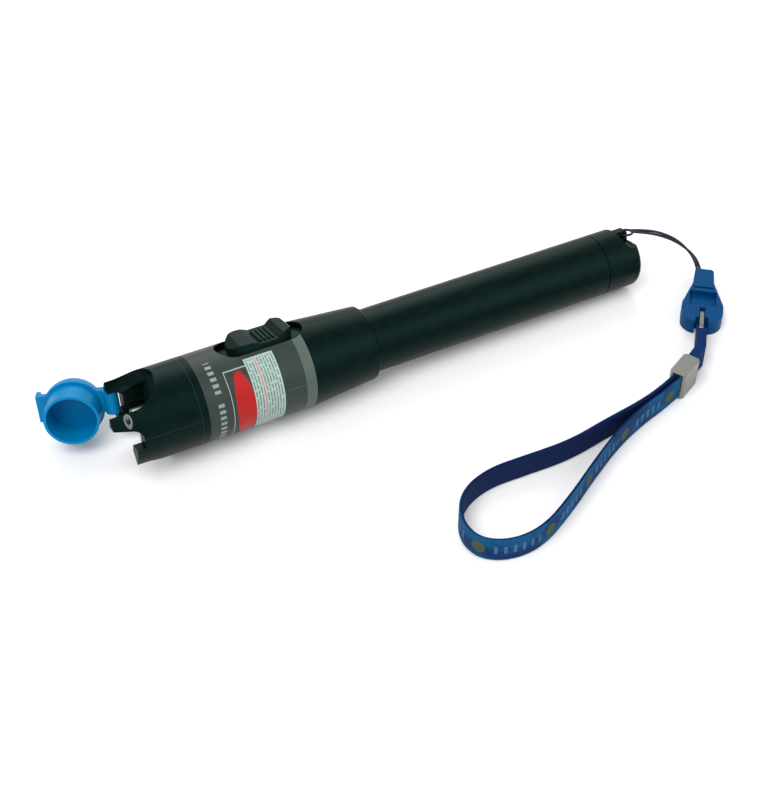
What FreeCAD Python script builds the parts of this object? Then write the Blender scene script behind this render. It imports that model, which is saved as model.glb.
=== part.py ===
"""Visual fault locator, pen type, with its wrist lanyard. Millimetres, one solid per piece."""
import FreeCAD, Part
import Sketcher
import math
import os

V = FreeCAD.Vector
doc = FreeCAD.newDocument("visual_fault_locator")
sheet = doc.addObject("Spreadsheet::Sheet", "Sizes")

# Sizes set by themselves. Pen lengths run along the pen from the guard tips (0) to the tail end.
SIZES = [
    ("shell_r", 13.0), ("shell_wall", 2.0), ("tube_r", 9.7), ("tube_wall", 2.1), ("cone_step", 1.6),
    ("nose_end", 25.4), ("label_gap", 1.8), ("label_len", 33.4), ("label_t", 0.2),
    ("cavity_tail", 3.4), ("tube_seat", 8.0), ("cone_tail", 10.0), ("barrel_lip", 0.5),
    ("tube_short", 3.6), ("thread_len", 7.4), ("thread_depth", 1.1), ("thread_fit", 0.1), ("end_gap", 0.3),
    ("spring_room", 3.5), ("tail_solid", 5.5), ("tail_round", 1.5),
    ("mouth_wall", 3.7), ("mouth_end", 16.0), ("plate_t", 4.0), ("adapter_r", 3.0),
    ("jaw_tip", 5.3), ("notch_back", 7.8), ("notch_low", -2.3), ("guard_low", 5.6), ("guard_dip", 4.0),
    ("guard_foot", 1.4), ("guard_flat", 5.0), ("guard_curve_r", 3.6),
    ("far_tip", 5.5), ("far_low", 5.2), ("far_flat", 8.0), ("far_back", 9.9), ("far_foot", 3.0), ("far_jaw", 7.6),
    ("scoop_r", 10.0), ("scoop_in", 2.5), ("scoop_x", 6.9),
    ("hinge_x", 7.0), ("hinge_in", 2.0), ("latch_x", 4.7), ("latch_low", 4.6), ("pin_r", 1.1),
    ("pin_bore_r", 0.6), ("pin_fit", 0.1), ("knuckle_r", 2.1), ("knuckle_fit_low", 0.15),
    ("knuckle_fit_top", 0.2), ("knuckle_room", 0.2),
    ("dome_gap", 0.5), ("skirt_gap", 1.4), ("skirt_wall", 0.8), ("skirt_len", 6.6), ("cap_floor", 2.0),
    ("tab_short", 0.3), ("tab_back", 2.0), ("tab_low", -4.7), ("tab_w", 8.4), ("tab_t", 1.6),
    ("tab_lip", 1.4), ("cap_open", -115.0),
    ("ferrule_r", 1.25), ("sleeve_wall", 0.35), ("sleeve_len", 11.4), ("adapter_front", 9.2), ("adapter_lip", 1.0),
    ("adapter_tail", 4.0), ("flange_seat", 10.0), ("housing_len", 24.0),
    ("housing_r", 6.0), ("lens_x", 8.0), ("lens_r", 4.5), ("lens_t", 3.0), ("lens_rim", 0.7),
    ("diode_r", 2.8), ("diode_seat", 6.0), ("board_tail", 2.0), ("board_half", 7.0), ("board_t", 1.6),
    ("slot_in", 8.8), ("slot_len", 26.9), ("slot_half", 5.3), ("tray_lead", 5.0), ("tray_depth", 3.0),
    ("slide_room", 3.5), ("slider_len", 19.8), ("slider_fit", 0.4), ("slider_gap", 0.2),
    ("saddle_h", 0.4), ("front_crest_h", 1.4), ("rear_crest_h", 1.9), ("stem_gap", 0.3), ("rib_h", 0.5),
    ("switch_top", 5.5), ("contact_len", 2.0), ("cell_len", 50.5), ("cell_fit", 0.35), ("nub_r", 2.7),
    ("spring_wire_r", 0.35), ("spring_r", 4.6), ("contact_t", 0.5),
    ("eye_in", 1.5), ("eye_low", 2.0), ("eye_r", 1.0), ("lug_t", 2.4), ("lug_low", 0.3), ("step_depth", 3.7),
    ("step_len", 4.6), ("step_half", 8.0),
    ("roll", -12.0), ("string_r", 0.8), ("strap_w", 8.0), ("strap_t", 1.1), ("buckle_len", 26.8),
    ("buckle_w", 12.8), ("buckle_t", 5.0), ("neck_w", 6.0), ("bar_t", 1.8), ("link_start", 20.0),
    ("link_end", 30.0), ("link_wire", 1.2), ("crimp_len", 9.8), ("crimp_w", 9.0), ("crimp_t", 5.2),
]

# Sizes that follow from the ones above.
TIED = [
    ("cavity_r", "shell_r - shell_wall"), ("cell_bore_r", "tube_r - tube_wall"), ("cell_r", "cell_bore_r - cell_fit"),
    ("cone_end_r", "tube_r + cone_step"), ("label_seat_r", "shell_r - label_t"), ("thread_r", "tube_r - thread_depth"),
    ("mouth_r", "shell_r - mouth_wall"), ("housing_start", "mouth_end + plate_t"),
    ("scoop_z", "shell_r - scoop_in"), ("hinge_y", "shell_r - hinge_in"), ("cap_reach", "hinge_y"),
    ("knuckle_low", "notch_low + knuckle_fit_low"), ("knuckle_top", "far_low - knuckle_fit_top"),
    ("dome_r", "mouth_r - dome_gap"), ("skirt_r", "mouth_r - skirt_gap"), ("skirt_bore_r", "skirt_r - skirt_wall"),
    ("tab_end", "hinge_y * 2 - tab_short"),
    ("sleeve_r", "ferrule_r + sleeve_wall"),
    ("housing_step", "housing_start + flange_seat"), ("housing_end", "housing_start + housing_len"),
    ("lens_start", "housing_start + lens_x"),
    ("label_start", "nose_end + label_gap"), ("label_end", "label_start + label_len"),
    ("slot_start", "label_start + slot_in"), ("slot_end", "slot_start + slot_len"),
    ("slider_start", "slot_start + slide_room"), ("slider_end", "slider_start + slider_len"),
    ("slider_half", "slot_half - slider_fit"), ("slider_low", "cavity_r + slider_gap"),
    ("tray_start", "slot_start - tray_lead"), ("tray_low", "cavity_r - tray_depth"),
    ("saddle", "shell_r + saddle_h"), ("front_crest", "shell_r + front_crest_h"),
    ("rear_crest", "shell_r + rear_crest_h"), ("stem_low", "switch_top + stem_gap"),
    ("cavity_end", "label_end + cavity_tail"), ("board_end", "cavity_end + board_tail"),
    ("contact_face", "board_end + contact_len"), ("tube_start", "cavity_end + tube_seat"),
    ("cone_end", "tube_start + cone_tail"), ("barrel_end", "cone_end + barrel_lip"),
    ("cells_end", "contact_face + cell_len * 2"), ("tube_end", "cells_end - tube_short"),
    ("thread_start", "tube_end - thread_len"), ("tail_floor", "cells_end + spring_room"),
    ("tail_end", "tail_floor + tail_solid"), ("eye_x", "tail_end - eye_in"), ("eye_z", "tube_r - eye_low"),
    ("step_floor", "tube_r - step_depth"),
]


def write_sheet(rows, first=1):
    """Put each named number in its own cell."""
    for row, (alias, value) in enumerate(rows, first):
        sheet.set("A%d" % row, str(value))
        sheet.setAlias("A%d" % row, alias)


class Size:
    """A number carried together with the sheet expression that gives it."""

    def __init__(self, value, text):
        self.value, self.text = value, text

    def __add__(self, other):
        other = size(other)
        return Size(self.value + other.value, "(%s + %s)" % (self.text, other.text))

    def __sub__(self, other):
        other = size(other)
        return Size(self.value - other.value, "(%s - %s)" % (self.text, other.text))

    def __mul__(self, other):
        other = size(other)
        return Size(self.value * other.value, "(%s * %s)" % (self.text, other.text))

    def __neg__(self):
        return size(0) - self


def size(item):
    """Wrap a plain number so that it can stand beside a sheet value."""
    return item if isinstance(item, Size) else Size(float(item), repr(float(item)))


write_sheet(SIZES)
write_sheet([(alias, "=" + rule) for alias, rule in TIED], len(SIZES) + 1)
doc.recompute()
numbers = {alias: float(sheet.get(alias)) for alias, _ in SIZES + TIED}
S = {alias: Size(value, "Sizes." + alias) for alias, value in numbers.items()}

# The pen lies on its thickest ring and on its tail, so it tips a little towards the tail.
run = numbers["tail_end"] - 1.0 - numbers["label_end"]
tilt = math.degrees(math.atan((numbers["shell_r"] - numbers["tube_r"]) / run))
lift = numbers["label_end"] * math.sin(math.radians(tilt)) + numbers["shell_r"] * math.cos(math.radians(tilt))
write_sheet([("tilt", tilt), ("lift", lift), ("move_x", 0.0), ("move_y", 0.0)], len(numbers) + 1)
MOVE_ROW = len(numbers) + 3
doc.recompute()

LYING = ("create(<<placement>>; create(<<vector>>; Sizes.move_x; Sizes.move_y; Sizes.lift); "
         "create(<<rotation>>; 0; Sizes.tilt; Sizes.roll))")
CAP_SWUNG = (LYING + " * create(<<placement>>; create(<<vector>>; Sizes.hinge_x; Sizes.hinge_y; 0); "
             "create(<<rotation>>; Sizes.cap_open; 0; 0))")


def new_body(name, where=LYING):
    """One PartDesign body, carried to its place by one expression."""
    body = doc.addObject("PartDesign::Body", name)
    body.Label = name
    body.setExpression("Placement", where)
    return body


def new_sketch(body, role, offset=None):
    """A sketch on one of the body's own origin planes, moved off it when asked."""
    sk = body.newObject("Sketcher::SketchObject", body.Name + "_sketch")
    plane = next(o for o in body.Origin.OriginFeatures if o.Role == role)
    sk.AttachmentSupport = [(plane, "")]
    sk.MapMode = "FlatFace"
    if offset is not None:
        sk.setExpression("AttachmentOffset.Base.z", size(offset).text)
    return sk


def arc_between(a, b, radius):
    """The short arc from a to b; a negative radius turns clockwise."""
    if radius < 0:
        a, b, radius = b, a, -radius
    half = (b - a) * 0.5
    left = V(-half.y, half.x, 0)
    left.normalize()
    centre = a + half + left * math.sqrt(max(radius ** 2 - half.Length ** 2, 0.0))
    ends = [math.atan2(p.y - centre.y, p.x - centre.x) for p in (a, b)]
    return Part.ArcOfCircle(Part.Circle(centre, V(0, 0, 1), radius), ends[0], ends[1])


def pin_value(sk, constraint, value):
    """Add a sketch dimension and bind it to the sheet."""
    index = sk.addConstraint(constraint)
    sk.setExpression("Constraints[%d]" % index, size(value).text)


def outline(sk, corners):
    """A closed outline; a third number in a corner is the radius of the arc leaving it."""
    spots = [V(size(c[0]).value, size(c[1]).value, 0) for c in corners]
    first = sk.GeometryCount
    heads = []
    for i, corner in enumerate(corners):
        a, b = spots[i], spots[(i + 1) % len(corners)]
        bend = size(corner[2]).value if len(corner) > 2 else 0
        sk.addGeometry(arc_between(a, b, bend) if bend else Part.LineSegment(a, b))
        heads.append((2, 1) if bend < 0 else (1, 2))
    for i, corner in enumerate(corners):
        here, after = first + i, first + (i + 1) % len(corners)
        tail = heads[(i + 1) % len(corners)][0]
        sk.addConstraint(Sketcher.Constraint("Coincident", here, heads[i][1], after, tail))
        for kind, value in (("DistanceX", corner[0]), ("DistanceY", corner[1])):
            pin_value(sk, Sketcher.Constraint(kind, -1, 1, here, heads[i][0], size(value).value), value)
        if len(corner) > 2:
            bind_arc(sk, here, spots[i], spots[(i + 1) % len(corners)], corner)
    return sk


def bind_arc(sk, index, a, b, corner):
    """Bind an arc: a half circle by its centre, any other by its radius."""
    bend = size(corner[2])
    if abs(abs(bend.value) * 2 - (b - a).Length) > 1e-6:
        radius = bend if bend.value > 0 else -bend
        pin_value(sk, Sketcher.Constraint("Radius", index, radius.value), radius)
        return
    across = 0 if abs(a.x - b.x) < abs(a.y - b.y) else 1
    value = size(corner[across])
    pin_value(sk, Sketcher.Constraint(("DistanceX", "DistanceY")[across], -1, 1, index, 3, value.value), value)


def circle(sk, x, y, radius):
    """One circle, bound at its centre and radius."""
    x, y, radius = size(x), size(y), size(radius)
    g = sk.addGeometry(Part.Circle(V(x.value, y.value, 0), V(0, 0, 1), radius.value))
    pin_value(sk, Sketcher.Constraint("DistanceX", -1, 1, g, 3, x.value), x)
    pin_value(sk, Sketcher.Constraint("DistanceY", -1, 1, g, 3, y.value), y)
    pin_value(sk, Sketcher.Constraint("Radius", g, radius.value), radius)
    return sk


def turned(body, corners, cut=False, role="XZ_Plane", axis="H_Axis"):
    """Spin an outline about the pen axis, adding or cutting."""
    sk = outline(new_sketch(body, role), corners)
    kind = "PartDesign::Groove" if cut else "PartDesign::Revolution"
    step = body.newObject(kind, body.Name + ("_groove" if cut else "_turned"))
    step.Profile = sk
    step.ReferenceAxis = (sk, [axis])
    step.Angle = 360
    return step


def raised(body, sk, length, both=False, down=False):
    """Pad a sketch."""
    step = body.newObject("PartDesign::Pad", body.Name + "_pad")
    step.Profile = sk
    step.setExpression("Length", size(length).text)
    step.Midplane = both
    step.Reversed = down
    return step


def cut_out(body, sk, length, both=False, up=False):
    """Pocket a sketch; up cuts along the sketch normal."""
    step = body.newObject("PartDesign::Pocket", body.Name + "_pocket")
    step.Profile = sk
    step.setExpression("Length", size(length).text)
    step.Midplane = both
    step.Reversed = up
    return step


def box_corners(x0, x1, y0, y1):
    """Corners of an upright rectangle."""
    return [(x0, y0), (x1, y0), (x1, y1), (x0, y1)]


def stadium(start, end, half):
    """A slot outline with round ends, along x."""
    a, b = size(start) + half, size(end) - half
    return [(a, -size(half)), (b, -size(half), half), (b, half), (a, half, half)]


# ---- nose: two half shells clamped round the port plate ----
def nose_hollow(body):
    """The mouth, and behind its ledge the seat of the port plate and laser housing."""
    turned(body, [(-1, 0), (-1, S["mouth_r"]), (S["mouth_end"], S["mouth_r"]), (S["mouth_end"], S["cavity_r"]),
                  (S["nose_end"] + 1, S["cavity_r"]), (S["nose_end"] + 1, 0)], cut=True)


def scoop_out(body, side):
    """Thumb scoop above (1) or below (-1) the mouth: a trough with a ball end."""
    centre, reach = S["scoop_z"] * side, S["scoop_x"] + S["scoop_r"]
    inner = centre - S["scoop_r"] * side
    scoop = [(-2, centre), (reach, centre, S["scoop_r"] * -side), (S["scoop_x"], inner), (-2, inner)]
    turned(body, scoop, cut=True, axis="Edge1")


def make_nose_upper():
    """Upper half: guards either side of the mouth, a thumb scoop between them."""
    body = new_body("nose_upper")
    sk = outline(new_sketch(body, "YZ_Plane"),
                 [(-S["shell_r"], 0), (S["shell_r"], 0, S["shell_r"])])
    raised(body, sk, S["nose_end"])
    nose_hollow(body)
    near = [(-1, -1), (-1, S["guard_low"]), (S["guard_flat"], S["guard_dip"], -S["guard_curve_r"]),
            (S["notch_back"], S["guard_foot"]), (S["notch_back"], -1)]
    cut_out(body, outline(new_sketch(body, "XZ_Plane"), near), 30, up=True)
    top = S["shell_r"] + 1
    far = [(-1, -1), (-1, top), (S["far_tip"], top), (S["far_tip"], S["far_low"]),
           (S["far_flat"], S["far_low"], -S["guard_curve_r"]), (S["far_back"], S["far_foot"]), (S["far_back"], -1)]
    cut_out(body, outline(new_sketch(body, "XZ_Plane"), far), 30)
    scoop_out(body, 1)
    holes = new_sketch(body, "XY_Plane")
    circle(holes, S["hinge_x"], S["hinge_y"], S["pin_r"])
    circle(holes, S["latch_x"], -S["hinge_y"], S["pin_r"])
    cut_out(body, holes, 20, up=True)
    room = circle(new_sketch(body, "XY_Plane"), S["hinge_x"], S["hinge_y"], S["knuckle_r"] + S["knuckle_room"])
    cut_out(body, room, S["knuckle_top"] + 0.15, up=True)


def make_nose_lower():
    """Lower half: a jaw either side of the mouth, scooped out below and cut back further on the far side."""
    body = new_body("nose_lower")
    sk = outline(new_sketch(body, "YZ_Plane", S["jaw_tip"]),
                 [(S["shell_r"], 0), (-S["shell_r"], 0, S["shell_r"])])
    raised(body, sk, S["nose_end"] - S["jaw_tip"])
    nose_hollow(body)
    near = box_corners(S["jaw_tip"] - 1, S["notch_back"], S["notch_low"], 1)
    cut_out(body, outline(new_sketch(body, "XZ_Plane"), near), 30, up=True)
    deep = -S["shell_r"] - 1
    far = [(S["jaw_tip"] - 1, deep), (S["far_jaw"], deep), (S["far_jaw"], S["notch_low"]),
           (S["far_back"], S["notch_low"]), (S["far_back"], 1), (S["jaw_tip"] - 1, 1)]
    cut_out(body, outline(new_sketch(body, "XZ_Plane"), far), 30)
    scoop_out(body, -1)


def make_port_plate():
    """Round plate behind the mouth that carries the port, dished where the scoops reach it."""
    body = new_body("port_plate")
    turned(body, box_corners(S["mouth_end"], S["housing_start"], S["adapter_r"], S["cavity_r"]))
    scoop_out(body, 1)
    scoop_out(body, -1)


def make_pins():
    """Two hollow roll pins, trimmed flush with the nose surface."""
    trim = box_corners(0, S["hinge_x"] + 3, S["shell_r"], S["shell_r"] + 5)
    for name, along, side, low in (("hinge_pin", S["hinge_x"], 1, S["knuckle_low"]),
                                   ("guard_pin", S["latch_x"], -1, S["latch_low"])):
        body = new_body(name)
        sk = new_sketch(body, "XY_Plane", low)
        for radius in (S["pin_r"], S["pin_bore_r"]):
            circle(sk, along, S["hinge_y"] * side, radius)
        raised(body, sk, S["shell_r"] - 2.5 - low)
        turned(body, trim, cut=True)


# ---- dust cap: drawn closed about its own hinge line, then swung open ----
def make_dust_cap():
    """Domed cap with a plug skirt, a hinge knuckle and a thumb tab."""
    body = new_body("dust_cap", CAP_SWUNG)
    mid, floor = -S["cap_reach"], -S["cap_floor"]
    profile = [(-S["dome_r"], mid), (S["skirt_len"], mid), (S["skirt_len"], mid + S["skirt_r"]),
               (0, mid + S["skirt_r"]), (0, mid + S["dome_r"], S["dome_r"])]
    turned(body, profile, role="XY_Plane", axis="Edge1")
    height = S["knuckle_top"] - S["knuckle_low"]
    arm = box_corners(-S["knuckle_r"], 0, mid + (S["skirt_bore_r"] - 1.1), 0)
    raised(body, outline(new_sketch(body, "XY_Plane", S["knuckle_low"]), arm), height)
    raised(body, circle(new_sketch(body, "XY_Plane", S["knuckle_low"]), 0, 0, S["knuckle_r"]), height)
    face, back = -S["tab_back"], -S["tab_back"] - S["tab_t"]
    root, end, lip = mid - (S["dome_r"] - 1.9), -S["tab_end"], back - S["tab_lip"]
    tab = [(lip, end), (face, end), (face, root), (back, root), (back, end + 1.3), (lip, end + 1.3)]
    raised(body, outline(new_sketch(body, "XY_Plane", S["tab_low"]), tab), S["tab_w"])
    hollow = [(floor, mid), (S["skirt_len"] + 1, mid), (S["skirt_len"] + 1, mid + S["skirt_bore_r"]),
              (floor, mid + S["skirt_bore_r"])]
    turned(body, hollow, cut=True, role="XY_Plane", axis="Edge1")
    bore = circle(new_sketch(body, "XY_Plane", S["knuckle_low"] - 1), 0, 0, S["pin_r"] + S["pin_fit"])
    cut_out(body, bore, 12, up=True)


# ---- optics inside the nose ----
def make_optics():
    """Adapter, split sleeve, laser module, lens and diode on the pen axis."""
    a, f = S["adapter_r"], S["ferrule_r"]
    back = S["housing_start"]
    start, tail = S["adapter_front"] + S["adapter_lip"], back + S["adapter_tail"]
    turned(new_body("ferrule_adapter"), [
        (S["adapter_front"], f), (S["adapter_front"], a), (tail, a), (tail, S["sleeve_r"]), (start, S["sleeve_r"]),
        (start, f)])
    sleeve = new_body("ceramic_sleeve")
    turned(sleeve, box_corners(start, start + S["sleeve_len"], f, S["sleeve_r"]))
    slit = outline(new_sketch(sleeve, "XY_Plane"), box_corners(0, back + 40, -0.15, 0.15))
    cut_out(sleeve, slit, 5, up=True)
    end, r, seat = S["housing_end"], S["housing_r"], S["housing_end"] - S["diode_seat"]
    turned(new_body("laser_housing"), [
        (back, a), (back, S["cavity_r"]), (S["housing_step"], S["cavity_r"]), (S["housing_step"], r),
        (end, r), (end, S["diode_r"]), (seat, S["diode_r"]), (seat, S["lens_r"]), (tail, S["lens_r"]), (tail, a)])
    lens, rim, back = S["lens_start"], S["lens_rim"], S["lens_start"] + S["lens_t"]
    turned(new_body("focusing_lens"), [(lens, 0), (lens + rim, S["lens_r"]), (back - rim, S["lens_r"]), (back, 0)])
    diode = new_body("laser_diode")
    turned(diode, [(end - 6.6, 0), (end - 6.6, 2.35), (end - 3.4, 2.35), (end - 3.4, S["diode_r"]),
                   (end - 2.2, S["diode_r"]), (end - 2.2, 0)])
    pins = new_sketch(diode, "YZ_Plane", end - 2.3)
    for y, z in ((0, 1.27), (1.1, -0.635), (-1.1, -0.635)):
        circle(pins, y, z, 0.23)
    raised(diode, pins, 2.3)


# ---- front barrel with its label, switch and electronics ----
def make_front_barrel():
    """Grip barrel tapering to the battery tube, slotted for the switch."""
    body = new_body("front_barrel")
    turned(body, [
        (S["nose_end"], S["cavity_r"]), (S["nose_end"], S["shell_r"]), (S["label_start"], S["shell_r"]),
        (S["label_start"], S["label_seat_r"]), (S["label_end"], S["label_seat_r"]),
        (S["label_end"], S["shell_r"]), (S["cone_end"], S["cone_end_r"]),
        (S["barrel_end"], S["cone_end_r"] - S["barrel_lip"]), (S["barrel_end"], S["tube_r"]),
        (S["tube_start"], S["tube_r"]), (S["tube_start"], S["cell_bore_r"]),
        (S["cavity_end"], S["cell_bore_r"]), (S["cavity_end"], S["cavity_r"])])
    slot = stadium(S["slot_start"], S["slot_end"], S["slot_half"])
    cut_out(body, outline(new_sketch(body, "XY_Plane"), slot), 20, up=True)


def make_label():
    """Printed wrap around the grip, open where the switch slot is."""
    body = new_body("wrap_label")
    turned(body, box_corners(S["label_start"], S["label_end"], S["label_seat_r"], S["shell_r"]))
    slot = stadium(S["slot_start"], S["slot_end"], S["slot_half"])
    cut_out(body, outline(new_sketch(body, "XY_Plane"), slot), 20, up=True)


def make_tray():
    """Floor of the switch slot, curved to the barrel bore, with a slit for the stem."""
    body = new_body("switch_tray")
    half = math.sqrt(numbers["cavity_r"] ** 2 - numbers["tray_low"] ** 2)
    sk = outline(new_sketch(body, "YZ_Plane", S["tray_start"]),
                 [(-half, S["tray_low"]), (half, S["tray_low"], S["cavity_r"])])
    raised(body, sk, S["cavity_end"] - S["tray_start"])
    slit = box_corners(S["slider_start"] + 4.5, S["slider_end"] - 4.3, -1.6, 1.6)
    cut_out(body, outline(new_sketch(body, "XY_Plane"), slit), 20, up=True)


def make_slider():
    """Thumb slider: two crests, a ribbed saddle and a stem to the switch below."""
    body = new_body("switch_slider")
    plan = stadium(S["slider_start"], S["slider_end"], S["slider_half"])
    raised(body, outline(new_sketch(body, "XY_Plane", S["slider_low"]), plan), 4)
    a, low, high, rear = S["slider_start"], S["saddle"], S["front_crest"], S["rear_crest"]
    lip, over, end = S["shell_r"] - 0.2, S["shell_r"] + 4, S["slider_end"]
    top = [(a - 1, over), (a - 1, lip - 0.2), (a, lip), (a + 2.6, high, -20), (a + 6.4, high, -12), (a + 8.8, low),
           (end - 5.6, low), (end - 3.8, rear, -14), (end - 1.2, rear), (end, rear - 1.3),
           (end + 1.2, rear - 1.8), (end + 1.2, over)]
    cut_out(body, outline(new_sketch(body, "XZ_Plane"), top), 20, both=True)
    ribs = new_sketch(body, "XY_Plane", S["saddle"] - 0.3)
    for i in range(4):
        outline(ribs, box_corners(a + (9.1 + 1.3 * i), a + (9.7 + 1.3 * i), -S["slider_half"] + 1.4,
                                  S["slider_half"] - 1.4))
    raised(body, ribs, S["rib_h"] + 0.3)
    stem = outline(new_sketch(body, "XY_Plane", S["stem_low"]), box_corners(a + 8, a + 12, -1.2, 1.2))
    raised(body, stem, S["slider_low"] - S["stem_low"] + 0.2)


def make_box(name, x0, length, half, low, height):
    """A plain block on the pen axis."""
    item = doc.addObject("Part::Box", name)
    item.Label = name
    for prop, value in (("Length", length), ("Width", size(half) * 2), ("Height", height)):
        item.setExpression(prop, size(value).text)
    item.setExpression("Placement", LYING + " * create(<<placement>>; create(<<vector>>; %s; %s; %s); "
                       "create(<<rotation>>; 0; 0; 0))" % (size(x0).text, (-size(half)).text, size(low).text))
    return item


def make_electronics():
    """Driver board, slide switch and the front battery contact."""
    make_box("driver_board", S["housing_end"], S["board_end"] - S["housing_end"], S["board_half"],
             S["board_t"] * -0.5, S["board_t"])
    make_box("slide_switch", S["slider_start"] + 5, 10, 3.5, S["board_t"] * 0.5,
             S["switch_top"] - S["board_t"] * 0.5)
    end = S["board_end"]
    turned(new_body("front_contact"), [
        (end, 0), (end, S["cell_bore_r"]), (end + 0.8, S["cell_bore_r"]), (end + 0.8, 2.6),
        (S["contact_face"], 2.0), (S["contact_face"], 0)])


# ---- battery tube, cells and tail cap ----
def make_tube_and_cells():
    """Battery tube and two AA cells nose to tail."""
    turned(new_body("battery_tube"), [
        (S["tube_start"], S["cell_bore_r"]), (S["tube_start"], S["tube_r"]), (S["tube_end"], S["tube_r"]),
        (S["tube_end"], S["thread_r"]), (S["thread_start"], S["thread_r"]),
        (S["thread_start"], S["cell_bore_r"])])
    for name, start in (("battery_front", S["contact_face"]),
                        ("battery_rear", S["contact_face"] + S["cell_len"])):
        end, rim = start + S["cell_len"], S["cell_r"] - 0.55
        turned(new_body(name), [
            (start, 0), (start, S["nub_r"]), (start + 1.2, S["nub_r"]), (start + 1.2, rim),
            (start + 1.8, S["cell_r"]), (end - 0.5, S["cell_r"]), (end, rim), (end, 0)])


def make_tail_cap():
    """Screw-in tail cap with a stepped end and a lug for the lanyard."""
    body = new_body("tail_cap")
    spigot = S["thread_r"] - S["thread_fit"]
    turned(body, [
        (S["thread_start"] + S["end_gap"], S["cell_bore_r"]), (S["thread_start"] + S["end_gap"], spigot),
        (S["tube_end"] + S["end_gap"], spigot), (S["tube_end"] + S["end_gap"], S["tube_r"]),
        (S["tail_end"] - S["tail_round"], S["tube_r"], -S["tail_round"]),
        (S["tail_end"], S["tube_r"] - S["tail_round"]), (S["tail_end"], 0), (S["tail_floor"], 0),
        (S["tail_floor"], S["cell_bore_r"])])
    low, end, r = S["step_floor"], S["tail_end"], S["tube_r"]
    start, over = end - S["step_len"], r + 2.3
    step = [(start, over), (start, r + 0.2, 3.4), (end - 1.4, low), (end + 1, low), (end + 1, over)]
    cut_out(body, outline(new_sketch(body, "XZ_Plane"), step), S["step_half"] * 2, both=True)
    root, foot, crest = S["tail_floor"] + 0.5, low - 0.5, r - S["lug_low"]
    lug = [(root, foot), (end, foot), (end, crest - 0.8), (end - 0.8, crest), (root, crest)]
    raised(body, outline(new_sketch(body, "XZ_Plane"), lug), S["lug_t"], both=True)
    eye = circle(new_sketch(body, "XZ_Plane"), S["eye_x"], S["eye_z"], S["eye_r"])
    cut_out(body, eye, 10, both=True)


def make_tail_contact():
    """Contact plate on the tail cap floor and the coil that presses on the rear cell."""
    floor = S["tail_floor"]
    turned(new_body("tail_contact"), box_corners(floor - S["contact_t"], floor, 0, S["cell_bore_r"] - 0.6))
    body = new_body("tail_spring")
    wire, start = S["spring_wire_r"], S["cells_end"] + S["end_gap"]
    sk = circle(new_sketch(body, "XZ_Plane"), floor - S["contact_t"] - wire, S["spring_r"], wire)
    coil = body.newObject("PartDesign::AdditiveHelix", "tail_spring_coil")
    coil.Profile = sk
    coil.ReferenceAxis = (sk, ["H_Axis"])
    coil.Mode = "pitch-height-angle"
    coil.setExpression("Pitch", size(0.9).text)
    coil.setExpression("Height", (floor - S["contact_t"] - start - wire * 2).text)
    coil.Angle = -30
    coil.Reversed = True


# ---- lanyard: every route is measured from the floor point under the tail ----
TAIL_X = numbers["tail_end"] * math.cos(math.radians(tilt))


def lanyard_spot(dx, dy, dz, turn=0.0, lean=0.0):
    """Expression for a place given from the floor under the tail."""
    return ("create(<<placement>>; create(<<vector>>; Sizes.move_x + %.5f; Sizes.move_y + %.5f; %.5f); "
            "create(<<rotation>>; %.5f; 0; %.5f))" % (TAIL_X + dx, dy, dz, turn, lean))


def smooth_route(points):
    """Straight runs joined by tangent arcs; gives the pieces and the bend radii."""
    pts = [V(*p) for p in points]
    pieces, radii, at = [], [], pts[0]
    for before, here, after in zip(pts, pts[1:], pts[2:]):
        back, ahead = before - here, after - here
        run = 0.45 * min(back.Length, ahead.Length)
        back.normalize()
        ahead.normalize()
        half_turn = (math.pi - back.getAngle(ahead)) / 2
        a, b = here + back * run, here + ahead * run
        radius = run / math.tan(half_turn)
        centre = here + (back + ahead).normalize() * (radius / math.cos(half_turn))
        mid = centre + (here - centre).normalize() * radius
        pieces += [("line", at, a), ("arc", a, mid, b, centre)]
        radii.append(round(radius, 1))
        at = b
    pieces.append(("line", at, pts[-1]))
    return pieces, radii


def route_wire(points):
    """One wire along a smooth route."""
    pieces, radii = smooth_route(points)
    print("bend radii", radii)
    return Part.Wire([Part.makeLine(p[1], p[2]) if p[0] == "line" else Part.Arc(p[1], p[2], p[3]).toShape()
                      for p in pieces])


STRING = [(2.7, 1.5, 17.2), (8.0, 0.3, 16.0), (14.2, -1.0, 13.2), (19.6, -2.9, 9.6), (22.9, -7.2, 5.8),
          (22.3, -11.4, 3.2), (19.9, -15.9, 2.5)]
STRAP = [(-13.2, -50.6), (-24.0, -54.6), (-34.6, -57.2), (-48.0, -58.7), (-62.0, -60.9), (-76.0, -60.0),
         (-89.0, -59.2), (-99.6, -63.4), (-104.9, -72.0), (-103.9, -80.3), (-96.3, -84.9), (-86.0, -84.6),
         (-73.0, -78.2), (-60.0, -70.6), (-46.5, -63.4), (-34.0, -58.9), (-23.0, -56.2), (-12.6, -52.3)]
NECK = (22.3, -14.0)
BUCKLE_TURN = math.degrees(math.atan2(-0.77, -0.64))


def make_string():
    """Doubled thin cord from the tail lug down to the buckle; a spatial route, so swept directly."""
    wire = route_wire(STRING)
    start = V(*STRING[0])
    ahead = V(*STRING[1]) - start
    r = numbers["string_r"]
    section = Part.Wire(Part.makeCircle(r, start, ahead))
    tube = wire.makePipeShell([section], True, True)
    loop = Part.makeTorus(2.0, 0.45, V(0.75, 1.6, 17.24), V(0.03, 0.21, 0.98))
    item = doc.addObject("Part::Feature", "lanyard_string")
    item.Label = "lanyard_string"
    item.Shape = tube.fuse(loop)
    item.setExpression("Placement", lanyard_spot(0, 0, 0))


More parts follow.
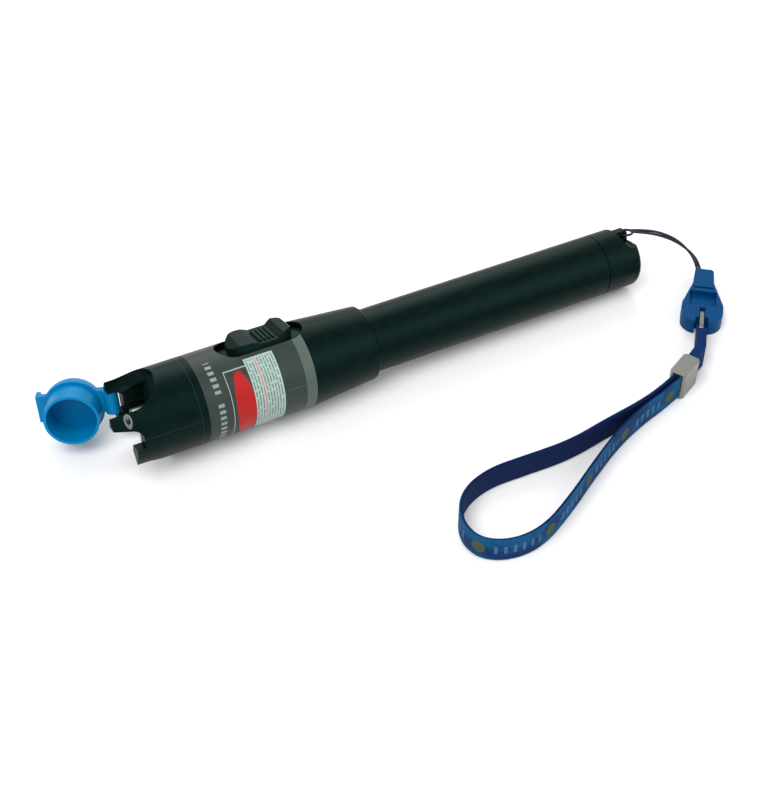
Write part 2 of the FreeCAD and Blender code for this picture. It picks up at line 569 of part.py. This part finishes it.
def make_strap():
    """Wrist webbing standing on its edge, both ends side by side in the crimp."""
    body = new_body("wrist_strap", lanyard_spot(0, 0, 0))
    sk = new_sketch(body, "XY_Plane", 0.05)
    pieces, radii = smooth_route([(x, y, 0) for x, y in STRAP])
    print("strap bend radii", radii)
    half = numbers["strap_t"] / 2
    sides = [band_side(pieces, half), band_side(pieces, -half)]
    for item in sides[0] + sides[1]:
        sk.addGeometry(item)
    sk.addGeometry(Part.LineSegment(sides[0][0].StartPoint, sides[1][0].StartPoint))
    sk.addGeometry(Part.LineSegment(sides[0][-1].EndPoint, sides[1][-1].EndPoint))
    raised(body, sk, S["strap_w"])


def band_side(pieces, shift):
    """One side of a band: the route pushed sideways by shift."""
    curves = []
    for p in pieces:
        if p[0] == "line":
            way = (p[2] - p[1]).normalize()
            push = V(-way.y, way.x, 0) * shift
            curves.append(Part.LineSegment(p[1] + push, p[2] + push))
        else:
            a, mid, b, centre = p[1:]
            left = (a - centre).cross(b - centre).z > 0
            radius = (a - centre).Length + (-shift if left else shift)
            spots = [centre + (q - centre).normalize() * radius for q in (a, mid, b)]
            curves.append(Part.ArcOfCircle(*spots))
    return curves


def make_buckle():
    """One-piece pear-shaped buckle: a recessed face, and a slotted end with a bar for the link."""
    body = new_body("buckle", lanyard_spot(NECK[0], NECK[1], 0, BUCKLE_TURN))
    n, w, end = S["neck_w"] * 0.5, S["buckle_w"] * 0.5, S["buckle_len"]
    t, bar = S["buckle_t"], S["bar_t"]
    shape = [(0, -n + 0.8), (0.8, -n), (7, -n - 0.2), (18, -w), (22, -w, 5.5), (end, -2.5), (end, 2.5, 5.5),
             (22, w), (18, w), (7, n + 0.2), (0.8, n), (0, n - 0.8)]
    raised(body, outline(new_sketch(body, "XY_Plane"), shape), t)
    for x0, x1, half, depth in ((11.5, 18.6, 4.2, 1.8), (9.2, 10.3, 3.2, 0.5)):
        recess = box_corners(x0, x1, -half, half)
        cut_out(body, outline(new_sketch(body, "XY_Plane", t - depth), recess), 3, up=True)
    slot = box_corners(19.7, 22, -0.9, 0.9)
    cut_out(body, outline(new_sketch(body, "XY_Plane", -1), slot), t + 2, up=True)
    notch = box_corners(24.5, end + 1, -2, 2)
    cut_out(body, outline(new_sketch(body, "XY_Plane", -1), notch), t + 2, up=True)
    for low in (t * 0.5 + bar * 0.5, -t * 0.5 - bar * 0.5):
        groove = box_corners(21.9, 24.6, -0.9, 0.9)
        cut_out(body, outline(new_sketch(body, "XY_Plane", low), groove), t, up=True)


def make_ring():
    """Wire link standing on edge, round the buckle's bar and through the webbing fold."""
    body = new_body("swivel_ring", lanyard_spot(NECK[0], NECK[1], numbers["buckle_t"] / 2, BUCKLE_TURN))
    a, b, wire, half = S["link_start"], S["link_end"], S["link_wire"], S["buckle_t"] * 0.5
    sk = new_sketch(body, "XZ_Plane")
    outline(sk, stadium(a, b, half))
    outline(sk, stadium(a + wire, b - wire, half - wire))
    raised(body, sk, wire, both=True)


def make_tab_and_crimp():
    """Webbing folded round the link, and the metal crimp that grips it and the strap ends."""
    tab = new_body("strap_tab", lanyard_spot(NECK[0], NECK[1], 0.1, BUCKLE_TURN))
    plan = [(26.3, -1.4), (41.3, -1.4), (49.3, -4.6), (50.4, -2.3), (41.9, 1.4), (26.3, 1.4)]
    raised(tab, outline(new_sketch(tab, "XY_Plane"), plan), S["strap_w"])
    for side in ([(25, 3.45), (27.8, 3.45), (34, 8.2), (34, 9.5), (25, 9.5)],
                 [(25, -1), (32, -1), (32, -0.05), (27.8, 1.35), (25, 1.35)]):
        cut_out(tab, outline(new_sketch(tab, "XZ_Plane"), side), 8, both=True)
    room = box_corners(27.8, S["link_end"] + 0.3, -0.7, 0.7)
    cut_out(tab, outline(new_sketch(tab, "XY_Plane", -1), room), 12, up=True)
    crimp = new_body("strap_crimp", lanyard_spot(-15.0, -51.8, 0, math.degrees(math.atan2(-0.43, -0.9))))
    end, half = S["crimp_len"] * 0.5, S["crimp_t"] * 0.5
    plan = [(-end, -half + 0.7), (-end + 0.7, -half), (end - 0.7, -half), (end, -half + 0.7),
            (end, half - 0.7), (end - 0.7, half), (-end + 0.7, half), (-end, half - 0.7)]
    raised(crimp, outline(new_sketch(crimp, "XY_Plane"), plan), S["crimp_w"])


def centre_frame():
    """Move everything so the pen's box, lanyard left out, is centred over the frame origin."""
    doc.recompute()
    for o in doc.Objects:
        if "Invalid" in o.State or "Error" in o.State or getattr(o, "Shape", None) and o.Shape.isNull():
            print("PROBLEM", o.Name, o.State)
    pen = [o for o in PIECES if not o.Label.startswith(("lanyard", "strap", "wrist", "buckle", "swivel"))]
    boxes = [o.Shape.optimalBoundingBox(True, False) for o in pen]
    x = (min(b.XMin for b in boxes) + max(b.XMax for b in boxes)) / 2
    y = (min(b.YMin for b in boxes) + max(b.YMax for b in boxes)) / 2
    for row, value in ((MOVE_ROW, -x), (MOVE_ROW + 1, -y)):
        sheet.set("A%d" % row, "%.5f" % value)
    print("frame moved by", -x, -y, "lowest", min(b.ZMin for b in boxes), "tilt", tilt)
    doc.recompute()


for make in (make_nose_upper, make_nose_lower, make_port_plate, make_pins, make_dust_cap, make_optics, make_front_barrel,
             make_label, make_tray, make_slider, make_electronics, make_tube_and_cells, make_tail_cap,
             make_tail_contact, make_string, make_strap, make_buckle, make_ring, make_tab_and_crimp):
    make()
doc.recompute()
PIECES = [o for o in doc.Objects if o.TypeId in ("PartDesign::Body", "Part::Box")
          or (o.TypeId == "Part::Feature" and o.Label == "lanyard_string")]
centre_frame()

os.makedirs("parts", exist_ok=True)
for item in doc.Objects:
    if "Invalid" in item.State or "Error" in item.State:
        print("PROBLEM", item.Name, item.State)
for piece in PIECES:
    shape = piece.Shape
    if shape.isNull() or not shape.isValid() or len(shape.Solids) != 1:
        print("PROBLEM", piece.Label, "solids", 0 if shape.isNull() else len(shape.Solids))
    shape.exportStep("parts/%s.step" % piece.Label)
    b = shape.BoundBox
    print("%-16s %8.1f mm3  x %.1f..%.1f y %.1f..%.1f z %.1f..%.1f" % (
        piece.Label, shape.Volume, b.XMin, b.XMax, b.YMin, b.YMax, b.ZMin, b.ZMax))
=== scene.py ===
"""Looks for the visual fault locator: finishes, printed wrap, lanyard cloth, light and camera."""
import bpy
import math
from mathutils import Matrix, Vector, Euler


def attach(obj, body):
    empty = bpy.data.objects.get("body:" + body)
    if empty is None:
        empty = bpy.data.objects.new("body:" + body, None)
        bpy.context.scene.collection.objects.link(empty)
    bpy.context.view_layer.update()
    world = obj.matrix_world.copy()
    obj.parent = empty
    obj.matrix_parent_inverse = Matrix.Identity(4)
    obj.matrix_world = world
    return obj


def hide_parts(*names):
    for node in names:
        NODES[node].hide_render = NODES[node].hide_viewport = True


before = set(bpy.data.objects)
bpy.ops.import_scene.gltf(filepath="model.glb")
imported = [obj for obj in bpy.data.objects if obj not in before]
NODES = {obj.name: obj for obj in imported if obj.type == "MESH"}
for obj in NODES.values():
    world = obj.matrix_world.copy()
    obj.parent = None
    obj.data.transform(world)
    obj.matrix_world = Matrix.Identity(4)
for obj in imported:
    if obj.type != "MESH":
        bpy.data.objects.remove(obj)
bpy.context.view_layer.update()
MM = 0.001

# Lengths along the pen from the guard tips, and the grip's radius, in millimetres.
NOSE_END, LABEL_END, PEN_LENGTH, GRIP_R = 25.4, 60.6, 178, 13
# The pen's own directions: x from the guard tips to the tail, z up through the switch.
TILT, ROLL = math.radians(1.62393), math.radians(-12)
MOVE = Vector((-82.59034, -5.96591, LABEL_END * math.sin(TILT) + GRIP_R * math.cos(TILT))) * MM
PEN = Matrix.Translation(MOVE) @ Matrix.Rotation(TILT, 4, "Y") @ Matrix.Rotation(ROLL, 4, "X")
TAIL = Vector((PEN_LENGTH * math.cos(TILT) * MM + MOVE.x, MOVE.y, 0))


# ---- shader maths ----
class Val:
    """A number in a material; operators on it add Math nodes."""

    def __init__(self, mat, socket):
        self.mat, self.socket = mat, socket

    def calc(self, operation, *others):
        node = self.mat.node("ShaderNodeMath", {"operation": operation}, [self.socket, *others])
        return Val(self.mat, node.outputs[0])

    def swapped(self, operation, other):
        node = self.mat.node("ShaderNodeMath", {"operation": operation}, [other, self.socket])
        return Val(self.mat, node.outputs[0])

    def __add__(self, o): return self.calc("ADD", o)
    def __radd__(self, o): return self.calc("ADD", o)
    def __sub__(self, o): return self.calc("SUBTRACT", o)
    def __rsub__(self, o): return self.swapped("SUBTRACT", o)
    def __mul__(self, o): return self.calc("MULTIPLY", o)
    def __rmul__(self, o): return self.calc("MULTIPLY", o)
    def __truediv__(self, o): return self.calc("DIVIDE", o)
    def __mod__(self, o): return self.calc("FLOORED_MODULO", o)
    def __gt__(self, o): return self.calc("GREATER_THAN", o)
    def __lt__(self, o): return self.calc("LESS_THAN", o)
    def both(self, o): return self.calc("MULTIPLY", o)
    def either(self, o): return self.calc("MAXIMUM", o)
    def inside(self, low, high): return (self > low) * (self < high)

    def soft(self, low, high):
        """0 below low, 1 above high, smooth between."""
        node = self.mat.node("ShaderNodeMapRange", {"interpolation_type": "SMOOTHSTEP"},
                             {"Value": self.socket, "From Min": low, "From Max": high})
        return Val(self.mat, node.outputs["Result"])


class Finish:
    """One material and the few tools that its recipes need."""

    def __init__(self, name, **sockets):
        self.material = bpy.data.materials.new(name)
        self.material.use_nodes = True
        self.tree = self.material.node_tree
        self.shader = self.tree.nodes["Principled BSDF"]
        for key, value in sockets.items():
            self.shader.inputs[key.replace("_", " ")].default_value = value

    def node(self, kind, settings=None, inputs=None):
        node = self.tree.nodes.new(kind)
        for key, value in (settings or {}).items():
            setattr(node, key, value)
        pairs = inputs.items() if isinstance(inputs, dict) else enumerate(inputs or [])
        for key, value in pairs:
            self.feed(node.inputs[key], value)
        return node

    def feed(self, socket, value):
        if isinstance(value, Val):
            value = value.socket
        if isinstance(value, bpy.types.NodeSocket):
            self.tree.links.new(value, socket)
        else:
            socket.default_value = value

    def place(self):
        """Object coordinates."""
        return self.node("ShaderNodeTexCoord").outputs["Object"]

    def pen_place(self):
        """Position in the pen's own directions, in millimetres: x, y, z and the vector."""
        back = PEN.inverted()
        turned = self.node("ShaderNodeMapping", {"vector_type": "POINT"},
                           {"Vector": self.place(), "Location": back.to_translation(),
                            "Rotation": Vector(back.to_euler("XYZ"))})
        scaled = self.node("ShaderNodeVectorMath", {"operation": "SCALE"},
                           {0: turned.outputs[0], "Scale": 1 / MM})
        parts = self.node("ShaderNodeSeparateXYZ", {}, [scaled.outputs[0]])
        return [Val(self, parts.outputs[i]) for i in range(3)] + [scaled.outputs[0]]

    def joined(self, a, b):
        """Two numbers as a vector."""
        return self.node("ShaderNodeCombineXYZ", {}, [a, b, 0.0]).outputs[0]

    def noise(self, vector, scale, detail=3.0, rough=0.5):
        node = self.node("ShaderNodeTexNoise", {}, {"Vector": vector, "Scale": scale, "Detail": detail,
                                                    "Roughness": rough})
        return Val(self, node.outputs["Fac"])

    def mix(self, factor, a, b):
        """Blend two colours; gives a colour socket."""
        node = self.node("ShaderNodeMix", {"data_type": "RGBA"}, {"Factor": factor})
        for index, value in ((6, a), (7, b)):
            self.feed(node.inputs[index], value)
        return node.outputs[2]

    def bump(self, height, distance, strength=1.0):
        node = self.node("ShaderNodeBump", {}, {"Height": height, "Distance": distance, "Strength": strength})
        self.feed(self.shader.inputs["Normal"], node.outputs[0])

    def set(self, name, value):
        self.feed(self.shader.inputs[name], value)
        return self


def rgb(r, g, b):
    """A display colour, 0 to 255, as the linear colour that shaders use."""
    line = [c / 255 for c in (r, g, b)]
    return tuple(c / 12.92 if c <= 0.04045 else ((c + 0.055) / 1.055) ** 2.4 for c in line) + (1.0,)


def dress(finish, *names):
    """Put a finish on CAD nodes or pieces."""
    for name in names:
        piece = NODES.get(name) or bpy.data.objects[name]
        piece.data.materials.clear()
        piece.data.materials.append(finish.material)


# ---- finishes ----
GREEN_SHEEN = (0.35, 1.0, 0.88, 1)
# The wrap's print, in millimetres along the pen.
FRAME_START, FRAME_END, PANEL_START, PANEL_END, ROW_PITCH, REAR_BAND = 34.4, 41.9, 41.4, 50.4, 0.86, 57.4
# The wrist tape, in millimetres: its half width and half thickness, and its print.
TAPE_HALF_W, TAPE_HALF_T = 3.95, 0.52
INNER_FACE = 20       # added to the inner face's second UV number, to tell it from the outer one
DISC_PITCH, DISC_R = 22.0, 2.0


def black_paint():
    """Satin black lacquer with a faint orange peel, dark joint lines between the nose shells, and a painted
    highlight along their edges.
    """
    f = Finish("satin_black_lacquer", Metallic=0.0, IOR=1.45, Specular_IOR_Level=0.14,
               Specular_Tint=GREEN_SHEEN)
    x, y, z, p = f.pen_place()
    cloud = f.noise(p, 0.35, 4.0)
    fine = f.noise(p, 9.0, 2.0)
    colour = f.mix(cloud.soft(0.35, 0.75), rgb(1, 9, 8), rgb(4, 15, 13))
    split = (x < NOSE_END).both(z.inside(-0.16, 0.16))
    joint = x.inside(NOSE_END - 0.22, NOSE_END + 0.12)
    colour = f.mix(split.either(joint), colour, rgb(0, 2, 2))
    # Painted highlight: thin lighter lines just above the shell split and just in front of the nose joint,
    # standing in for light caught on their edges.
    split_edge_highlight = (x < NOSE_END - 0.4).both(z.inside(0.2, 0.46))
    painted_edge_highlight = split_edge_highlight.either(x.inside(NOSE_END - 0.5, NOSE_END - 0.24))
    colour = f.mix(painted_edge_highlight * 0.7, colour, rgb(24, 48, 43))
    f.set("Base Color", colour)
    f.set("Roughness", 0.33 + cloud * 0.08 + fine * 0.05)
    f.bump(fine * 0.5 + cloud * 0.5, 0.00004, 0.4)
    return f


def moulded_black(name, shade):
    """Fine matt texture of moulded black plastic."""
    f = Finish(name, IOR=1.45, Specular_IOR_Level=0.16, Specular_Tint=GREEN_SHEEN)
    p = f.place()
    grain = f.noise(p, 5200.0, 2.0)
    patch = f.noise(p, 140.0, 3.0)
    low, high = rgb(shade - 14, shade - 3, shade - 4), rgb(shade - 8, shade + 5, shade + 4)
    f.set("Base Color", f.mix(patch, low, high))
    f.set("Roughness", 0.38 + grain * 0.12)
    f.bump(grain, 0.00003, 0.5)
    return f


def blue_plastic():
    """Glossy blue polymer with soft mould marks."""
    f = Finish("blue_polymer", IOR=1.46, Specular_IOR_Level=0.2, Specular_Tint=(0.4, 0.8, 1.0, 1))
    p = f.place()
    patch = f.noise(p, 160.0, 3.0)
    f.set("Base Color", f.mix(patch, rgb(0, 112, 164), rgb(0, 124, 178)))
    f.set("Roughness", 0.3 + patch * 0.12)
    f.bump(f.noise(p, 2500.0), 0.00002, 0.3)
    return f


def metal(name, colour, rough=0.22):
    """Turned or drawn metal with fine scratches."""
    f = Finish(name, Metallic=1.0)
    p = f.place()
    wear = f.noise(p, 900.0, 3.0)
    spots = f.noise(p, 120.0, 3.0)
    lighter = tuple(min(1.0, c * 1.12) for c in colour[:3]) + (1.0,)
    f.set("Base Color", f.mix(spots, colour, lighter))
    f.set("Roughness", wear * 0.16 + (rough - 0.05))
    f.bump(wear, 0.00002, 0.35)
    return f


def plain(name, low, high, rough=0.4, scale=400.0, **sockets):
    """Two close tones of one colour with a fine surface."""
    f = Finish(name, **sockets)
    p = f.place()
    patch = f.noise(p, scale, 3.0)
    f.set("Base Color", f.mix(patch, low, high))
    f.set("Roughness", rough + patch * 0.1)
    f.bump(patch, 0.00002, 0.3)
    return f


def wrap_print():
    """Printed wrap: grey-green film, bars, a thin frame, a red ellipse, a ruled panel and a lap seam."""
    f = Finish("printed_wrap", IOR=1.45, Specular_IOR_Level=0.2)
    x, y, z, p = f.pen_place()
    turn = (y * -1.0).calc("ARCTAN2", z) * (180 / math.pi)   # 0 at the switch, 90 on the near side
    film = f.mix(f.noise(p, 0.25, 3.0), rgb(42, 52, 48), rgb(50, 60, 56))
    colour = f.mix(x > REAR_BAND, film, rgb(78, 91, 84))

    frame_box = x.inside(FRAME_START, FRAME_END) * (turn > 38)
    frame_field = (x > FRAME_START + 0.22) * (turn > 39.6)
    colour = f.mix(frame_box * (1 - frame_field), colour, rgb(150, 160, 152))
    round_part = (turn - 94) * 0.0192
    along_part = (x - 38.5) / 2.9
    ellipse = (along_part * along_part + round_part * round_part) < 1.0
    colour = f.mix(ellipse, colour, rgb(166, 26, 24))

    panel = x.inside(PANEL_START, PANEL_END) * (turn > 30) * (1 - ellipse)
    colour = f.mix(panel, colour, rgb(158, 180, 172))
    rows = ((x - PANEL_START - 0.2) % ROW_PITCH) / ROW_PITCH
    row_number = (x * 1.163).calc("FLOOR")
    ragged = f.noise(f.joined(row_number, turn * 0.07), 3.0, 2.0)
    ruled = panel * rows.inside(0.22, 0.7) * (turn > 32) * (x < PANEL_END - 0.5) * (ragged > 0.44)
    colour = f.mix(ruled * 0.85, colour, rgb(84, 104, 98))
    pink_line = panel * x.inside(44.4, 44.8) * (turn > 34)
    colour = f.mix(pink_line * 0.8, colour, rgb(196, 110, 110))

    bars = x.inside(30.3, 32.1) * ((turn + 4) % 8.6).inside(1.8, 6.4) * (1 - turn.inside(62, 72))
    colour = f.mix(bars * (turn > 18), colour, rgb(126, 142, 134))
    seam = (turn - 87).calc("ABSOLUTE") < 0.5
    colour = f.mix(seam * (x > 51.5), colour, rgb(70, 75, 71))
    f.set("Base Color", colour)
    f.set("Roughness", 0.34 + f.noise(p, 2.0, 2.0) * 0.1)
    f.bump(f.noise(p, 6.0, 2.0) + seam * -2.0, 0.00003, 0.4)
    return f


def webbing():
    """Navy woven tape, its outer face printed with discs and bars; UV is millimetres along and across."""
    f = Finish("woven_navy_tape", Specular_IOR_Level=0.12)
    uv = f.node("ShaderNodeUVMap", {"uv_map": "tape"}).outputs[0]
    parts = f.node("ShaderNodeSeparateXYZ", {}, [uv])
    u, v = Val(f, parts.outputs[0]), Val(f, parts.outputs[1])
    outer = v < 12.0   # between the two faces' numbers
    warp = (v * (2 * math.pi / 0.55)).calc("SINE")
    weft = (u * (2 * math.pi / 0.8)).calc("SINE")
    weave = warp * weft
    cloud = f.noise(f.joined(u * 0.09, v * 0.2), 1.0, 2.0)
    inner_navy = f.mix(weave.soft(-0.6, 0.8), rgb(0, 22, 62), rgb(0, 34, 86))
    outer_blue = f.mix(weave.soft(-0.6, 0.8), rgb(0, 36, 80), rgb(0, 54, 104))
    bright = f.mix(cloud.soft(0.4, 0.62) * 0.8, outer_blue, rgb(0, 82, 128))
    colour = f.mix(outer, inner_navy, bright)
    step = (u + 16.0) % DISC_PITCH
    disc_u = (step - DISC_PITCH / 2) / DISC_R
    disc_v = (v - TAPE_HALF_W) / DISC_R
    disc = (disc_u * disc_u + disc_v * disc_v) < 1.0
    thread = f.noise(f.joined(u, v), 1.6, 2.0)
    colour = f.mix(disc * (0.6 + thread * 0.4), colour, rgb(74, 84, 36))
    between = step.inside(15.2, DISC_PITCH).either(step < 6.8)
    bars = between * ((u + 0.4) % 2.6).inside(0.5, 1.4) * v.inside(2.6, 5.3)
    colour = f.mix(bars * 0.4, colour, rgb(104, 140, 166))
    f.set("Base Color", colour)
    f.set("Roughness", 0.72 + weave * 0.1)
    f.bump(weave, 0.00008, 0.7)
    return f


BLACK = black_paint()
SWITCH = moulded_black("switch_black", 20)
CLIP = plain("moulded_blue", rgb(0, 54, 100), rgb(0, 66, 116), 0.42, 900.0, Specular_IOR_Level=0.12,
             Specular_Tint=(0.3, 0.7, 1.0, 1))
BLUE = blue_plastic()
MOULDED = moulded_black("port_black", 22)
STEEL = metal("bright_steel", (0.74, 0.75, 0.77, 1))
BRASS = metal("turned_brass", (0.72, 0.5, 0.22, 1), 0.3)
NICKEL = metal("nickel", (0.36, 0.36, 0.34, 1), 0.35)
dress(BLACK, "nose_upper", "nose_lower", "front_barrel", "battery_tube", "tail_cap")
dress(wrap_print(), "wrap_label")
dress(SWITCH, "switch_slider", "switch_tray")
dress(CLIP, "buckle")
dress(BLUE, "dust_cap")
dress(STEEL, "hinge_pin", "tail_spring")
dress(metal("worn_pin_steel", (0.16, 0.17, 0.165, 1), 0.34), "guard_pin")
dress(metal("dull_grey_metal", (0.2, 0.21, 0.185, 1), 0.32), "strap_crimp", "swivel_ring")
dress(MOULDED, "port_plate")
dress(NICKEL, "ferrule_adapter", "front_contact", "tail_contact")
dress(BRASS, "laser_housing", "laser_diode")
dress(plain("zirconia", rgb(150, 152, 146), rgb(170, 171, 165), 0.3), "ceramic_sleeve")
dress(plain("lens_glass", rgb(225, 235, 240), rgb(240, 246, 250), 0.05, Transmission_Weight=0.9),
      "focusing_lens")
dress(plain("board_green", rgb(20, 92, 48), rgb(26, 110, 58), 0.4), "driver_board")
dress(plain("switch_body", rgb(40, 40, 44), rgb(54, 54, 58), 0.45), "slide_switch")
dress(plain("cell_wrapper", rgb(46, 84, 122), rgb(60, 98, 138), 0.3), "battery_front", "battery_rear")


# ---- cords ----
def smooth_line(name, points):
    """Points along a NURBS line through the route's points."""
    data = bpy.data.curves.new(name, "CURVE")
    data.dimensions = "3D"
    data.resolution_u = 24
    spline = data.splines.new("NURBS")
    spline.points.add(len(points) - 1)
    for spot, p in zip(spline.points, points):
        spot.co = (*p, 1)
    spline.order_u = 3
    spline.use_endpoint_u = True
    holder = bpy.data.objects.new(name, data)
    bpy.context.collection.objects.link(holder)
    bpy.context.view_layer.update()
    mesh = bpy.data.meshes.new_from_object(holder.evaluated_get(bpy.context.evaluated_depsgraph_get()))
    line = [v.co.copy() for v in mesh.vertices]
    bpy.data.objects.remove(holder)
    return line


def frames(line):
    """Direction along the line and a level sideways direction at each point."""
    out = []
    for i, p in enumerate(line):
        way = (line[min(i + 1, len(line) - 1)] - line[max(i - 1, 0)]).normalized()
        side = Vector((0, 0, 1)).cross(way)
        out.append((p, way, side.normalized(), way.cross(side).normalized()))
    return out


def swept(name, rings, closed=False, uv=None):
    """A closed skin over rings of points."""
    n = len(rings[0])
    verts = [p for ring in rings for p in ring]
    faces = []
    for i in range(len(rings) - (0 if closed else 1)):
        a, b = i * n, ((i + 1) % len(rings)) * n
        faces += [(a + k, b + k, b + (k + 1) % n, a + (k + 1) % n) for k in range(n)]
    if not closed:
        faces += [tuple(range(n)), tuple(reversed(range(len(verts) - n, len(verts))))]
    mesh = bpy.data.meshes.new(name)
    mesh.from_pydata([tuple(v) for v in verts], [], faces)
    if uv:
        layer = mesh.uv_layers.new(name="tape")
        for loop in mesh.loops:
            layer.data[loop.index].uv = uv[loop.vertex_index]
    mesh.update()
    piece = bpy.data.objects.new(name, mesh)
    bpy.context.collection.objects.link(piece)
    return piece


def length_of(line):
    """The line's length in metres."""
    return sum((b - a).length for a, b in zip(line, line[1:]))


def at_tail(points):
    """Route points in millimetres from the floor under the tail, as places in metres."""
    return [TAIL + Vector(p) * MM for p in points]


ROUND_SIDES = 10
STRAND_R, STRAND_OFFSET, STRAND_TWIST = 0.42 * MM, 0.43 * MM, 9 * MM
LOOP_R, LOOP_WIRE_R = 2 * MM, 0.4 * MM
STRING = at_tail([(2.7, 1.5, 17.2), (8.0, 0.3, 16.0), (14.2, -1.0, 13.2), (19.6, -2.9, 9.6),
                  (22.9, -7.2, 5.8), (22.3, -11.4, 3.2), (19.9, -15.9, 2.5)])
STRAP = at_tail([(x, y, 4.05) for x, y in [
    (-13.2, -50.6), (-24.0, -54.6), (-34.6, -57.2), (-48.0, -58.7), (-62.0, -60.9), (-76.0, -60.0),
    (-89.0, -59.2), (-99.6, -63.4), (-104.9, -72.0), (-103.9, -80.3), (-96.3, -84.9), (-86.0, -84.6),
    (-73.0, -78.2), (-60.0, -70.6), (-46.5, -63.4), (-34.0, -58.9), (-23.0, -56.2), (-12.6, -52.3)]])


def round_the(centre, first, second, radius):
    """A ring of points about a centre."""
    turns = [k * math.tau / ROUND_SIDES for k in range(ROUND_SIDES)]
    return [centre + (first * math.cos(t) + second * math.sin(t)) * radius for t in turns]


def distances(line):
    """How far along the line each point lies."""
    along = [0.0]
    for a, b in zip(line, line[1:]):
        along.append(along[-1] + (b - a).length)
    return along


def make_string():
    """Two thin strands twisted together, and the loop through the tail lug."""
    line = smooth_line("string_route", STRING)
    parts = []
    for start in (0, math.pi):
        rings = []
        for along, (p, _, side, up) in zip(distances(line), frames(line)):
            phase = along / STRAND_TWIST + start
            middle = p + (side * math.cos(phase) + up * math.sin(phase)) * STRAND_OFFSET
            rings.append(round_the(middle, side, up, STRAND_R))
        parts.append(swept("string_strand", rings))
    centre = TAIL + Vector((0.75, 1.6, 17.24)) * MM
    axis = Vector((0.03, 0.21, 0.98)).normalized()
    first = axis.cross(Vector((0, 1, 0))).normalized()
    second = axis.cross(first)
    rings = []
    for i in range(40):
        t = i * math.tau / 40
        out = first * math.cos(t) + second * math.sin(t)
        rings.append(round_the(centre + out * LOOP_R, out, axis, LOOP_WIRE_R))
    loop = swept("eye_loop", rings, closed=True)
    fix_normals(loop)
    bpy.ops.object.select_all(action="DESELECT")
    for part in parts:
        part.select_set(True)
    bpy.context.view_layer.objects.active = parts[0]
    bpy.ops.object.join()
    piece = parts[0]
    piece.name = "lanyard_cord"
    fix_normals(piece)
    return piece, loop, line


def fix_normals(piece):
    """Point every face outwards and shade it smooth."""
    bpy.ops.object.select_all(action="DESELECT")
    piece.select_set(True)
    bpy.context.view_layer.objects.active = piece
    bpy.ops.object.mode_set(mode="EDIT")
    bpy.ops.mesh.select_all(action="SELECT")
    bpy.ops.mesh.normals_make_consistent(inside=False)
    bpy.ops.object.mode_set(mode="OBJECT")
    bpy.ops.object.shade_smooth_by_angle(angle=math.radians(40))


def make_strap():
    """Woven tape standing on its edge."""
    line = smooth_line("strap_route", STRAP)
    w, t = TAPE_HALF_W * MM, TAPE_HALF_T * MM
    half = [(t * 0.5, w), (t, w * 0.93), (t, 0), (t, -w * 0.93), (t * 0.5, -w)]
    section = [(-a, b) for a, b in reversed(half)] + half
    rings, uv = [], []
    for along, (p, _, side, up) in zip(distances(line), frames(line)):
        rings.append([p + side * a + up * b for a, b in section])
        uv += [(along / MM, (b + w) / MM + (INNER_FACE if a > 0 else 0)) for a, b in section]
    piece = swept("wrist_tape", rings, uv=uv)
    fix_normals(piece)
    return piece, line


cord_navy = plain("braided_navy", rgb(2, 8, 24), rgb(14, 24, 48), 0.6, 2200.0)
string, eye_loop, string_line = make_string()
dress(cord_navy, "lanyard_cord", "eye_loop")
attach(string, "tail")
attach(eye_loop, "tail")
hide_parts("lanyard_string")
round(length_of(string_line), 4)
[eye_loop] + [NODES[n] for n in ("buckle", "swivel_ring", "strap_tab", "strap_crimp")]
strap, strap_line = make_strap()
dress(webbing(), "wrist_tape")
dress(plain("plain_navy_tape", rgb(0, 28, 72), rgb(0, 42, 94), 0.75, 1500.0, Specular_IOR_Level=0.12),
      "strap_tab")
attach(strap, "tail")
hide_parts("wrist_strap")
round(length_of(strap_line), 4)


# ---- floor, light, camera ----
def make_stage():
    """Pale floor, soft lamps and an even surround."""
    bpy.ops.mesh.primitive_plane_add(size=6, location=(0, 0, -0.0001))
    floor = bpy.context.object
    floor.name = "floor"
    f = Finish("pale_floor", Roughness=0.6)
    rays = f.node("ShaderNodeLightPath").outputs
    kinds = ("Is Camera Ray", "Is Glossy Ray", "Is Transmission Ray")
    camera, glossy, through = [Val(f, rays[kind]) for kind in kinds]
    colour = f.mix(camera.either(glossy).either(through), (0.8, 0.8, 0.8, 1), (0.86, 0.86, 0.865, 1))
    f.set("Base Color", colour)
    floor.data.materials.append(f.material)
    world = bpy.data.worlds.new("surround")
    bpy.context.scene.world = world
    world.use_nodes = True
    world.node_tree.nodes["Background"].inputs[0].default_value = (1, 1, 1, 1)
    world.node_tree.nodes["Background"].inputs[1].default_value = 0.55
    lamps = [("key", (-0.5, -0.3, 0.9), 0.7, 9.0), ("fill", (0.6, -0.7, 0.6), 0.8, 4.0),
             ("back", (0.3, 0.8, 0.7), 0.8, 5.0)]
    for name, spot, size, power in lamps:
        lamp = bpy.data.lights.new(name, "AREA")
        lamp.size = size
        lamp.energy = power
        holder = bpy.data.objects.new(name, lamp)
        bpy.context.collection.objects.link(holder)
        holder.location = spot
        holder.rotation_euler = (Vector((0, 0, 0)) - Vector(spot)).to_track_quat("-Z", "Y").to_euler()


def make_camera():
    """Three-quarter view from above the nose end."""
    data = bpy.data.cameras.new("camera")
    data.lens = 68.2
    data.sensor_width = 36
    camera = bpy.data.objects.new("camera", data)
    bpy.context.collection.objects.link(camera)
    camera.location = TAIL + Vector((-0.2567, -0.3021, 0.3077))
    camera.rotation_euler = Euler((math.radians(47.04), 0, math.radians(-28.92)))
    bpy.context.scene.camera = camera


make_stage()
make_camera()
bpy.context.scene.view_settings.view_transform = "Standard"
